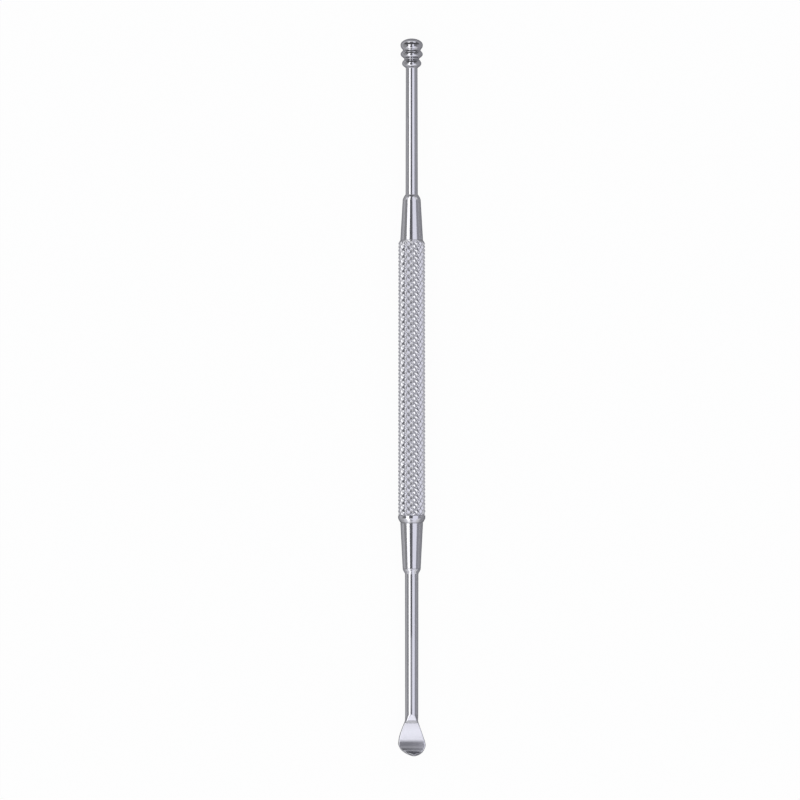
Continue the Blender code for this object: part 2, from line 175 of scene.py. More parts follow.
class Sheet:
    """The node tree of one material or world, filled through one method."""

    def __init__(self, owner: bpy.types.Material | bpy.types.World) -> None:
        """Empties the owner's node tree.

        Args:
            owner: the material or world that the sheet is for.
        """
        owner.use_nodes = True
        self.tree = owner.node_tree
        self.tree.nodes.clear()

    def add(
        self,
        kind: str,
        settings: Mapping[str, object],
        inputs: Mapping[str | int, Feed],
        output: str | int = 0,
    ) -> Value:
        """Adds a node.

        Args:
            kind: the node's type.
            settings: its own settings, which are set first.
            inputs: a value, or another node's result, for each socket that is used.
            output: the name or number of the socket to return.

        Returns:
            The value of that socket.
        """
        node = self.tree.nodes.new(kind)
        for name, setting in settings.items():
            setattr(node, name, setting)
        for name, feed in inputs.items():
            if isinstance(feed, Value):
                self.tree.links.new(feed.socket, node.inputs[name])
            else:
                node.inputs[name].default_value = feed
        return Value(self, node.outputs[output])

    def blend(self, share: Feed, first: Feed, second: Feed) -> Value:
        """Mixes two colours.

        Args:
            share: how much of the second colour shows, from 0 to 1.
            first: the colour at a share of 0.
            second: the colour at a share of 1.

        Returns:
            The mixed colour.
        """
        settings = {"data_type": "RGBA", "clamp_factor": True}
        return self.add("ShaderNodeMix", settings, {0: share, 6: first, 7: second}, 2)

    def place(self) -> Value:
        """Gives a point's place in the frame."""
        return self.add("ShaderNodeTexCoord", {}, {}, "Object")

    def part(self, place: Value, axis: str) -> Value:
        """Gives a place's measure along X, Y or Z."""
        return self.add("ShaderNodeSeparateXYZ", {}, {0: place}, axis)

    def stretched(self, place: Value, scale: Sequence[float]) -> Value:
        """Scales a place along each axis."""
        settings = {"operation": "MULTIPLY"}
        return self.add("ShaderNodeVectorMath", settings, {0: place, 1: scale})

    def noise(self, place: Value, scale: float, detail: float = 2.0) -> Value:
        """Gives a soft noise.

        Args:
            place: where it is read.
            scale: how many times it varies in a metre.
            detail: how many finer layers it has.

        Returns:
            The noise, from 0 to 1.
        """
        return self.add(
            "ShaderNodeTexNoise",
            {"noise_dimensions": "3D"},
            {"Vector": place, "Scale": scale, "Detail": detail, "Roughness": 0.55},
        )

    def end(self, shader: Value, kind: str = "ShaderNodeOutputMaterial") -> None:
        """Links a shader to the sheet's output."""
        node = self.tree.nodes.new(kind)
        self.tree.links.new(shader.socket, node.inputs["Surface"])


# Finishes.


@dataclass(frozen=True)
class Steel:
    """Stainless steel whose fine marks run one way, with faint smears of handling on it.

    The smears and marks each vary the roughness and, by their shares, lean the colour to the
    darker tint.
    In its crevices, which are places along the tool, the steel is rougher and has painted shade in
    that darker tint.
    """

    name: str
    tint: Tone = (0.56, 0.56, 0.585, 1.0)
    # The darker tint is used by the random smears and marks, and by the painted shade in crevices
    # and grooves.
    smear_and_shade_tint: Tone = (0.47, 0.47, 0.485, 1.0)
    edge_tint: Tone = (0.5, 0.5, 0.52, 1.0)
    roughness: float = 0.11
    smear_roughness: float = 0.06
    mark_roughness: float = 0.05
    dull_roughness: float = 0.22
    least_roughness: float = 0.04
    smear_share: float = 0.35
    mark_share: float = 0.5
    painted_shade_share: float = 0.8
    mark_scale: float = 9000.0
    mark_depth: float = 0.0006 * MM
    smear_scale: float = 420.0
    grain: Grain = Grain.LENGTHWISE
    # Places along the tool that get painted shade, a darker tint, and more roughness.
    crevices: tuple[float, ...] = ()
    crevice_reach: float = 0.12 * MM
    crevice_core: float = 0.2

    def material(self) -> bpy.types.Material:
        """Makes the finish's material.

        Returns:
            The material.
        """
        material = bpy.data.materials.new(self.name)
        sheet = Sheet(material)
        place = sheet.place()
        x, y, z = (sheet.part(place, axis) for axis in "XYZ")
        up = z - AXIS_HEIGHT
        radius = (x * x + up * up).root()
        marks = sheet.noise(sheet.stretched(place, self.grain.value), self.mark_scale, 3.0)
        smears = sheet.noise(place, self.smear_scale, 3.0)
        shade_and_rough = self.shade_and_roughness_mask(y, radius)
        bare = (smears - 0.5) * (2 * self.smear_roughness) + (marks - 0.5) * self.mark_roughness
        roughness = bare + shade_and_rough * self.dull_roughness + self.coarseness(y)
        share = (smears - 0.5) * self.smear_share + (marks - 0.5) * self.mark_share
        # Painted shade: the crevice or groove mask darkens the colour here.
        share = shade_and_rough * self.painted_shade_share + share
        colour = sheet.blend(share.most(0.0), self.tint, self.smear_and_shade_tint)
        normal = sheet.add(
            "ShaderNodeBump", {}, {"Strength": 1.0, "Distance": self.mark_depth, "Height": marks}
        )
        shader = sheet.add(
            "ShaderNodeBsdfPrincipled",
            {},
            {
                "Base Color": colour,
                "Metallic": 1.0,
                "Roughness": roughness.most(self.least_roughness),
                "Specular Tint": self.edge_tint,
                "Normal": normal,
            },
        )
        sheet.end(shader)
        return material

    def shade_and_roughness_mask(self, along: Value, radius: Value) -> Value | float:
        """Tells where the steel gets painted shade and more roughness: in its crevices.

        Args:
            along: the point's place along the tool.
            radius: the point's distance from the tool's axis; not used here.

        Returns:
            A mask from 0, bright, to 1, painted shade and rougher.
        """
        mask: Value | float = 0.0
        core = self.crevice_reach * self.crevice_core
        for line in self.crevices:
            mask = (along - line).size().step(self.crevice_reach, core).most(mask)
        return mask

    def coarseness(self, along: Value) -> Value | float:
        """Gives the roughness of the clean steel, the same at every place along the tool."""
        return self.roughness


@dataclass(frozen=True)
class PressedSteel(Steel):
    """Polished steel that pressing has left coarser beyond a line."""

    press_line: float = 0.0
    press_fade: float = 0.5 * MM
    pressed_roughness: float = 0.17

    def coarseness(self, along: Value) -> Value | float:
        """Gives the roughness of the clean steel: coarser past the line.

        Args:
            along: the point's place along the tool.

        Returns:
            The roughness.
        """
        past = along.step(self.press_line, self.press_line - self.press_fade)
        return past * (self.pressed_roughness - self.roughness) + self.roughness


@dataclass(frozen=True)
class KnurledSteel(Steel):
    """Knurled steel: the grooves hold a dark film, and hands have polished the crests.

    The painted shade fades out at a set share of the knurl's height, and again towards the bore.
    """

    root_radius: float = 2.22 * MM
    crest_radius: float = 2.46 * MM
    bore_radius: float = 1.9 * MM
    groove_shade_height: float = 0.62
    groove_shade_depth: float = 0.1
    groove_shade_share: float = 0.8

    def shade_and_roughness_mask(self, along: Value, radius: Value) -> Value | float:
        """Tells where the steel gets painted shade and more roughness: in the grooves.

        Args:
            along: the point's place along the tool; not used here.
            radius: the point's distance from the tool's axis.

        Returns:
            A mask from 0, bright, to 1, painted shade and rougher.
        """
        span = self.crest_radius - self.root_radius
        # Painted shade in the grooves, fading out towards the crests and towards the bore.
        low = radius.step(self.root_radius + self.groove_shade_height * span, self.root_radius)
        outside = radius.step(self.bore_radius, self.root_radius - self.groove_shade_depth * span)
        return low * outside * self.groove_shade_share


# Mesh builders.


def on_tool(radius: float, angle: float, along: float) -> Vector:
    """Places a point round the tool's axis.

    Args:
        radius: the distance from the axis.
        angle: the angle from straight up towards +X.
        along: the place along the tool.

    Returns:
        The point.
    """
    return Vector((radius * math.sin(angle), along, AXIS_HEIGHT + radius * math.cos(angle)))


def on_sphere(radius: float, across: float, along: float) -> Vector:
    """Places a point of a sphere round the tool.

    Args:
        radius: the sphere's radius.
        across: the angle from straight up towards +X.
        along: the angle from there towards +Y.

    Returns:
        The point.
    """
    level = radius * math.cos(along)
    height = level * math.cos(across)
    return Vector((level * math.sin(across), radius * math.sin(along), height))


def eased(share: float) -> float:
    """Eases a share from 0 to 1, level at both ends."""
    held = min(max(share, 0.0), 1.0)
    return held * held * (3 - 2 * held)


def ridge(place: float) -> float:
    """Rises from 0 at each whole number to 1 halfway to the next."""
    return 1 - abs(2 * (place % 1.0) - 1)


def between(ends: tuple[float, float], share: float) -> float:
    """Gives the number at a share of the way from one end to the other."""
    return ends[0] + (ends[1] - ends[0]) * share


def on_curve(start: Vector, middle: Vector, end: Vector, share: float) -> Vector:
    """Places a point on the curve that rounds a corner.

    Args:
        start: where the curve leaves the first side.
        middle: the corner.
        end: where the curve meets the second side.
        share: how far along the curve the point is, from 0 to 1.

    Returns:
        The point.
    """
    return start * (1 - share) ** 2 + middle * (2 * share * (1 - share)) + end * share**2


def soft_least(first: float, second: float, width: float) -> float:
    """Gives the lesser of two numbers, rounded where they meet.

    Args:
        first: one number.
        second: the other number.
        width: how far apart they are where the rounding starts.

    Returns:
        The rounded lesser number.
    """
    overlap = max(width - abs(first - second), 0.0) / width
    return min(first, second) - overlap * overlap * width / 4


class Loft:
    """A closed skin over rows of points. Each row has the same count, or one point at a pole.

    The first few points of two rows, as many as probes, give the gap between them in the texture
    map, which keeps map_edge clear at both ends.
    """

    probes: int = 9
    least_gap: float = 0.01 * MM
    map_edge: float = 0.004

    def __init__(self, name: str) -> None:
        """Starts with no rows."""
        self.name = name
        self.rows: list[list[Vector]] = []

    def add(self, row: Sequence[Vector]) -> None:
        """Adds a row."""
        self.rows.append(list(row))

    def heights(self, closed: bool) -> list[float]:
        """Gives each row's place in the texture map, from 0 to 1 along the skin.

        Args:
            closed: whether the last row joins the first.

        Returns:
            One share for each row, and one more for the first again where it is closed.
        """
        rows = self.rows + self.rows[:1] if closed else self.rows
        reach = [0.0]
        for lower, upper in zip(rows, rows[1:]):
            pairs = [(lower[k % len(lower)], upper[k % len(upper)]) for k in range(self.probes)]
            gap = max((first - second).length for first, second in pairs)
            reach.append(reach[-1] + max(gap, self.least_gap))
        ends = (self.map_edge, 1 - self.map_edge)
        return [between(ends, part / reach[-1]) for part in reach]

    def mesh(
        self, closed: bool = False, slant: Callable[[int, int], bool] | None = None
    ) -> bpy.types.Mesh:
        """Skins the rows.

        Args:
            closed: whether the last row joins the first.
            slant: for a skin of triangles, tells which way the cell of a row and side is cut.

        Returns:
            The new mesh, with outward faces and its own texture map.
        """
        starts = [0]
        for row in self.rows:
            starts.append(starts[-1] + len(row))
        sides = max(len(row) for row in self.rows)
        shares = self.heights(closed)
        faces: list[tuple[int, ...]] = []
        places: list[tuple[float, float]] = []
        count = len(self.rows)
        for index in range(count if closed else count - 1):
            after = (index + 1) % count
            low, high = starts[index], starts[after]
            v_low, v_high = shares[index], shares[index + 1]
            for side in range(sides):
                u, u_next = side / sides, (side + 1) / sides
                following = (side + 1) % sides
                corners = [
                    (low + side, u, v_low),
                    (low + following, u_next, v_low),
                    (high + following, u_next, v_high),
                    (high + side, u, v_high),
                ]
                if len(self.rows[index]) == 1:
                    cells = [[(low, (u + u_next) / 2, v_low), corners[2], corners[3]]]
                elif len(self.rows[after]) == 1:
                    cells = [[corners[0], corners[1], (high, (u + u_next) / 2, v_high)]]
                elif slant is None:
                    cells = [corners]
                elif slant(index, side):
                    cells = [corners[:3], [corners[0], corners[2], corners[3]]]
                else:
                    cells = [[corners[0], corners[1], corners[3]], corners[1:]]
                for cell in cells:
                    faces.append(tuple(corner[0] for corner in cell))
                    places.extend(corner[1:] for corner in cell)
        mesh = bpy.data.meshes.new(self.name)
        mesh.from_pydata([point for row in self.rows for point in row], [], faces)
        layer = mesh.uv_layers.new(name="OFBake")
        layer.data.foreach_set("uv", [part for place in places for part in place])
        work = bmesh.new()
        work.from_mesh(mesh)
        bmesh.ops.remove_doubles(work, verts=work.verts, dist=WELD_DISTANCE)
        bmesh.ops.recalc_face_normals(work, faces=work.faces)
        work.to_mesh(mesh)
        work.free()
        return mesh


class Corner(NamedTuple):
    """A corner of a turned outline, rounded by its fillet."""

    radius: float
    reach: float
    fillet: float = 0.0


def rounded(corners: Sequence[Corner], steps: int = 5) -> Outline:
    """Rounds the corners of an outline, with a holding point on each side of a fillet.

    Args:
        corners: the outline's corners in order. The first and last stay sharp.
        steps: the number of parts that each fillet has.

    Returns:
        The outline's points.
    """
    points: Outline = []
    for index, corner in enumerate(corners):
        here = Vector((corner.radius, corner.reach))
        if corner.fillet <= 0 or index in (0, len(corners) - 1):
            points.append((here.x, here.y))
            continue
        back = Vector(corners[index - 1][:2]) - here
        onward = Vector(corners[index + 1][:2]) - here
        size = min(corner.fillet, back.length * FILLET_LIMIT, onward.length * FILLET_LIMIT)
        back = back.normalized() * size
        onward = onward.normalized() * size
        shares = [step / steps for step in range(steps + 1)]
        arc = [on_curve(here + back, here, here + onward, share) for share in shares]
        arc = [here + back * FILLET_HOLD, *arc, here + onward * FILLET_HOLD]
        points += [(place.x, place.y) for place in arc]
    return points


@dataclass
class Piece:
    """One physical piece of the tool: where it comes from and how it is set into the frame."""

    node: str
    name: str
    slot: Slot
    facing: Facing = Facing.RINGED

    def box(self) -> tuple[Vector, Vector]:
        """Gives the lowest and highest corners of the CAD node."""
        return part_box(self.node)

    def turned(self, outline: Outline, seat: float) -> bpy.types.Mesh:
        """Turns an outline about the tool's axis.

        Args:
            outline: its (radius, reach) points, with each reach measured outwards.
            seat: the place along the tool that reaches are measured from.

        Returns:
            The turned mesh.
        """
        loft = Loft(self.name)
        for radius, reach in outline:
            along = seat + self.facing.value * reach
            count = SIDES if radius > POLE_RADIUS else 1
            loft.add([on_tool(radius, math.tau * side / count, along) for side in range(count)])
        return loft.mesh()

    def settle(self, mesh: bpy.types.Mesh, finish: Steel, sharp: float = SHARP_ANGLE) -> None:
        """Adds the piece to the scene in place of its CAD node.

        Args:
            mesh: the piece's mesh, in the frame's own metres.
            finish: its finish.
            sharp: the angle beyond which an edge is drawn sharp.
        """
        mesh.shade_smooth()
        mesh.set_sharp_from_angle(angle=sharp)
        mesh.materials.append(finish.material())
        piece = bpy.data.objects.new(self.name, mesh)
        bpy.context.scene.collection.objects.link(piece)
        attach(piece, "root")
        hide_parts(self.node)
        LOG.info("%s: %d faces, stands for %s", self.name, len(mesh.polygons), self.node)


# The grip.


@dataclass
class GripTube(Piece):
    """The tube that the fingers hold, with a diamond knurl and a plain band at its scoop end.

    The grooves of one hand are fainter, by faint_share, and the tube is a little slimmer at its
    ringed end. Each round is the span over which two forms of the knurl blend. The knurl runs
    out into a groove beside the plain band.
    """

    node: str = "knurled_grip"
    name: str = "grip_tube"
    slot: Slot = Slot.KNURLED
    teeth: int = 16
    rows: int = 38
    steps: int = 10
    root_radius: float = 2.16 * MM
    crest_radius: float = 2.525 * MM
    faint_share: float = 0.81
    ringed_end_share: float = 0.985
    bore_radius: float = 1.7 * MM
    end_radius: float = 2.05 * MM
    chamfer: float = 0.75 * MM
    band_length: float = 0.6 * MM
    band_radius: float = 2.465 * MM
    run_out: float = 0.2 * MM
    run_out_radius: float = 2.26 * MM
    turn: float = math.radians(3.0)
    phase: float = 0.06
    groove_round: float = 0.07
    hip_round: float = 0.1
    crest_cap: float = 0.93
    crest_round: float = 0.12
    chamfer_round: float = 0.05 * MM
    crest_wear: float = 0.025
    wear_seed: int = 11

    def wear(self) -> list[list[float]]:
        """Draws how much each crest is worn down.

        Returns:
            For each half row, a share of the knurl's depth for each half tooth.
        """
        chance = random.Random(self.wear_seed)
        wide, tall = 2 * self.teeth, 2 * self.rows + 3
        return [[chance.uniform(0, self.crest_wear) for _ in range(wide)] for _ in range(tall)]

    def relief(self, around: float, along: float, worn: float) -> float:
        """Gives the knurl's height at a point, from 0 in a groove to about 1 on a crest.

        Args:
            around: the point's place round the tube, in teeth.
            along: its place along the knurl, in rows.
            worn: how much its crest is worn down.

        Returns:
            The height.
        """
        heights = []
        for place, share in ((around + along, self.faint_share), (around - along, 1.0)):
            flank = ridge(place)
            height = math.hypot(flank, self.groove_round) - self.groove_round * (1 - flank)
            heights.append(1 - share * (1 - height))
        both = soft_least(heights[0], heights[1], self.hip_round)
        return soft_least(both, self.crest_cap - worn, self.crest_round)

    def leans(self, row: int, side: int) -> bool:
        """Tells whether a cell of the grid lies on the flank of a groove of the first hand.

        Args:
            row: the cell's row of points, from the ringed end.
            side: its place in the row.

        Returns:
            True where the cell is cut to follow that groove.
        """
        around = (side + 0.5) / self.steps
        along = (row + 0.5) / self.steps + self.phase
        return ridge(around + along) > ridge(around - along)

    def ring(self, radii: Sequence[float], along: float) -> list[Vector]:
        """Places a row of points round the tube.

        Args:
            radii: the points' distances from the axis, in order round it.
            along: the row's place along the tool.

        Returns:
            The points.
        """
        count = len(radii)
        angles = [self.turn + math.tau * side / count for side in range(count)]
        return [on_tool(radius, angle, along) for radius, angle in zip(radii, angles)]

    def build(self) -> bpy.types.Mesh:
        """Makes the tube: knurl, plain band, chamfer, end faces and bore.

        Returns:
            The tube's mesh.
        """
        low, high = self.box()
        bottom, top = low.y, high.y
        knurl_end = bottom + self.band_length + self.chamfer
        slope = (self.crest_radius - self.end_radius) / self.chamfer
        count = self.teeth * self.steps
        lines = self.rows * self.steps
        worn = self.wear()
        loft = Loft(self.name)
        for line in range(lines + 1):
            along = top - (top - knurl_end) * line / lines
            scale = between((self.ringed_end_share, 1.0), line / lines)
            limit = self.end_radius + (top - along) * slope
            fade = eased((along - knurl_end) / self.run_out)
            rank = line / self.steps + self.phase
            radii = []
            for side in range(count):
                around = side / self.steps
                wear = worn[round(rank * 2)][round(around * 2) % (2 * self.teeth)]
                relief = self.relief(around, rank, wear)
                radius = between((self.root_radius, self.crest_radius), relief) * scale
                radius = soft_least(radius, limit, self.chamfer_round)
                radii.append(between((min(self.run_out_radius, radius), radius), fade))
            loft.add(self.ring(radii, along))
        for radius, along in self.plain_end(bottom, top):
            loft.add(self.ring([radius] * count, along))
        return loft.mesh(closed=True, slant=self.leans)

    def plain_end(self, bottom: float, top: float) -> Outline:
        """Lists the outline from the knurl's end round the plain end and back up the bore.

        Args:
            bottom: the end face at the scoop end.
            top: the end face at the ringed end.

        Returns:
            The outline's (radius, along) points.
        """
        band_top = bottom + self.chamfer + self.band_length
        corners = [
            Corner(self.run_out_radius, band_top - 0.005 * MM),
            Corner(self.band_radius, band_top - 0.03 * MM, 0.07 * MM),
            Corner(self.band_radius, bottom + self.chamfer, 0.16 * MM),
            Corner(self.end_radius, bottom, 0.08 * MM),
            Corner(self.bore_radius, bottom, 0.05 * MM),
            Corner(self.bore_radius, top, 0.05 * MM),
            Corner(self.end_radius - 0.06 * MM, top),
        ]
        return rounded(corners)

    def dress(self, mesh: bpy.types.Mesh) -> None:
        """Gives the tube its knurled steel and sets it in place.

        Args:
            mesh: the tube's mesh.
        """
        finish = KnurledSteel(
            "knurled_steel_grip",
            roughness=0.11,
            mark_scale=5200.0,
            smear_scale=260.0,
            grain=Grain.ROUND,
        )
        self.settle(mesh, finish, math.radians(35))


# The collars.


@dataclass
class Collar(Piece):
    """A tapered collar: spigot in the grip's bore, cone outside, and a bore for its tip."""

    slot: Slot = Slot.TURNED
    base_radius: float = 2.05 * MM
    nose_radius: float = 1.63 * MM
    cone_length: float = 8.3 * MM
    nose_length: float = 0.0
    nose_power: float = 1.5
    nose_steps: int = 14
    bore_radius: float = 1.03 * MM
    bore_depth: float = 7.5 * MM
    spigot_radius: float = 1.67 * MM
    spigot_length: float = 6.0 * MM
    lead_in: float = 0.2 * MM
    edge: float = 0.05 * MM
    nose_hold: float = 0.06 * MM

    def outline(self) -> Outline:
        """Lists the collar's outline from its bore's floor to its spigot's end.

        Returns:
            The outline's (radius, reach) points.
        """
        length = self.cone_length + self.nose_length
        inside = [
            Corner(0.0, length - self.bore_depth),
            Corner(self.bore_radius, length - self.bore_depth, self.edge),
        ]
        outside = [
            Corner(self.nose_radius, self.cone_length, self.edge),
            Corner(self.base_radius, 0.0, self.edge),
            Corner(self.spigot_radius, 0.0, self.edge),
            Corner(self.spigot_radius, self.lead_in - self.spigot_length, self.edge),
            Corner(self.spigot_radius - self.lead_in, -self.spigot_length, self.edge),
            Corner(0.0, -self.spigot_length),
        ]
        if not self.nose_length:
            return rounded([*inside, Corner(self.bore_radius, length, self.edge), *outside])
        lip = self.nose_radius - self.bore_radius
        nose: Outline = []
        for step in range(self.nose_steps + 1):
            share = 1 - step / self.nose_steps
            radius = self.bore_radius + lip * (1 - share**self.nose_power)
            nose.append((radius, self.cone_length + self.nose_length * share))
        slope = (self.base_radius - self.nose_radius) / self.cone_length
        hold = self.nose_hold
        below = Corner(self.nose_radius + slope * hold, self.cone_length - hold)
        bore = [*inside, Corner(self.bore_radius, length)]
        return rounded(bore)[:-1] + nose + rounded([below, *outside[1:]])

    def seat(self) -> float:
        """Finds where the collar meets the grip's end.

        Returns:
            The place along the tool.
        """
        low, high = self.box()
        if self.facing is Facing.RINGED:
            return high.y - self.cone_length - self.nose_length
        return low.y + self.cone_length

    def build(self) -> bpy.types.Mesh:
        """Makes the collar."""
        return self.turned(self.outline(), self.seat())

    def dress(self, mesh: bpy.types.Mesh) -> None:
        """Gives the collar its turned steel and sets it in place.

        Args:
            mesh: the collar's mesh.
        """
        seat = self.seat()
        end = seat + self.facing.value * (self.cone_length + self.nose_length)
        finish = Steel(
            f"turned_steel_{self.facing.name.lower()}",
            roughness=0.12,
            mark_scale=7000.0,
            mark_depth=0.0008 * MM,
            grain=Grain.ROUND,
            # Painted shade darkens the steel at both seams, where it is also rougher.
            crevices=(seat, end),
        )
        self.settle(mesh, finish)


# The ringed tip.


class Bead(NamedTuple):
    """One rounded ring of the head, from its widest line up and down to its notches."""

    radius: float
    above: float
    below: float
    notch_radius: float
    easing: tuple[float, float]

    def share(self, turn: float, easing: float) -> float:
        """Gives how far the ring stands out between its notch and its widest line.

        Args:
            turn: the place, from 0 on the widest line to a quarter turn in the notch.
            easing: 0 for a plain round ring, and 1 for a pointed one with a rounded notch.

        Returns:
            The share, from 0 to 1.
        """
        reach = math.sin(turn)
        eased_in = easing + (1 - easing) * reach**2 if easing else 0.0
        return (1 - eased_in) * math.cos(turn) + eased_in * (1 + math.cos(math.pi * reach)) / 2


@dataclass
class RingedTip(Piece):
    """The ringed tip: shank, slim shaft and the head of three rounded rings, in one piece.

    The notches between the rings are rounded over the height of gorge.
    """

    node: str = "ring_tip"
    name: str = "ringed_tip"
    slot: Slot = Slot.POLISHED
    shank_length: float = 7.0 * MM
    shank_radius: float = 1.105 * MM
    neck_radius: float = 1.055 * MM
    shaft_length: float = 22.88 * MM
    lead_in: float = 0.2 * MM
    arc_steps: int = 10
    gorge: float = 0.05 * MM
    beads: tuple[Bead, ...] = (
        Bead(2.02 * MM, 1.18 * MM, 0.96 * MM, 1.56 * MM, (0.0, 0.1)),
        Bead(2.0 * MM, 0.73 * MM, 0.85 * MM, 1.3 * MM, (0.1, 0.3)),
        Bead(1.74 * MM, 0.78 * MM, 0.9 * MM, 1.055 * MM, (0.3, 0.1)),
    )

    def head_length(self) -> float:
        """Gives the length of the three rings together."""
        return sum(bead.above + bead.below for bead in self.beads)

    def head(self) -> Outline:
        """Lists the head's outline from the dome's middle down to the shaft's neck.

        Returns:
            The outline's (radius, reach) points.
        """
        points: Outline = []
        reach = self.shaft_length + self.head_length()
        inner = 0.0
        for bead in self.beads:
            widest = reach - bead.above
            steps = self.arc_steps if points else 2 * self.arc_steps
            for step in range(steps):
                turn = math.pi / 2 * (1 - step / steps)
                radius = between((inner, bead.radius), bead.share(turn, bead.easing[0]))
                radius = self.eased_notch(radius, inner)
                points.append((radius, widest + bead.above * math.sin(turn)))
            for step in range(self.arc_steps):
                turn = math.pi / 2 * step / self.arc_steps
                share = bead.share(turn, bead.easing[1])
                radius = between((bead.notch_radius, bead.radius), share)
                radius = self.eased_notch(radius, bead.notch_radius)
                points.append((radius, widest - bead.below * math.sin(turn)))
            reach = widest - bead.below
            inner = bead.notch_radius
        return points

    def eased_notch(self, radius: float, notch: float) -> float:
        """Rounds the bottom of a notch between two rings.

        Args:
            radius: the outline's radius.
            notch: the notch's radius, or less than the neck's beside no notch.

        Returns:
            The radius with the notch's bottom rounded.
        """
        if notch <= self.neck_radius:
            return radius
        return -soft_least(-radius, -notch - self.gorge, self.gorge)

    def notches(self) -> tuple[float, ...]:
        """Lists where the notches between the rings are.

        Returns:
            Their places along the tool.
        """
        end = self.box()[1].y
        first = end - self.beads[0].above - self.beads[0].below
        second = first - self.beads[1].above - self.beads[1].below
        return first, second

    def build(self) -> bpy.types.Mesh:
        """Makes the tip.

        Returns:
            The tip's mesh.
        """
        shaft = [
            Corner(self.neck_radius, self.shaft_length),
            Corner(self.shank_radius, 0.0),
            Corner(self.shank_radius, self.lead_in - self.shank_length),
            Corner(self.shank_radius - self.lead_in, -self.shank_length, 0.04 * MM),
            Corner(0.0, -self.shank_length),
        ]
        seat = self.box()[1].y - self.head_length() - self.shaft_length
        return self.turned(self.head() + rounded(shaft), seat)

    def dress(self, mesh: bpy.types.Mesh) -> None:
        """Gives the tip its polished steel and sets it in place.

        Args:
            mesh: the tip's mesh.
        """
        finish = Steel(
            "polished_steel_rings",
            roughness=0.1,
            # Painted shade darkens the notches between the rings, which are also rougher.
            crevices=self.notches(),
            crevice_reach=0.2 * MM,
        )
        self.settle(mesh, finish, math.radians(50))


# The scoop tip.


class Section(NamedTuple):
    """One cross-section of the scoop: a superellipse cut flat by the scoop's front.

    reach and front_up place the middle of its front, past the neck and above the tool's axis.
    """

    reach: float
    front_up: float
    tilt: float
    thickness: float
    half_width: float
    widest_depth: float
    fullness: float
    shift: float


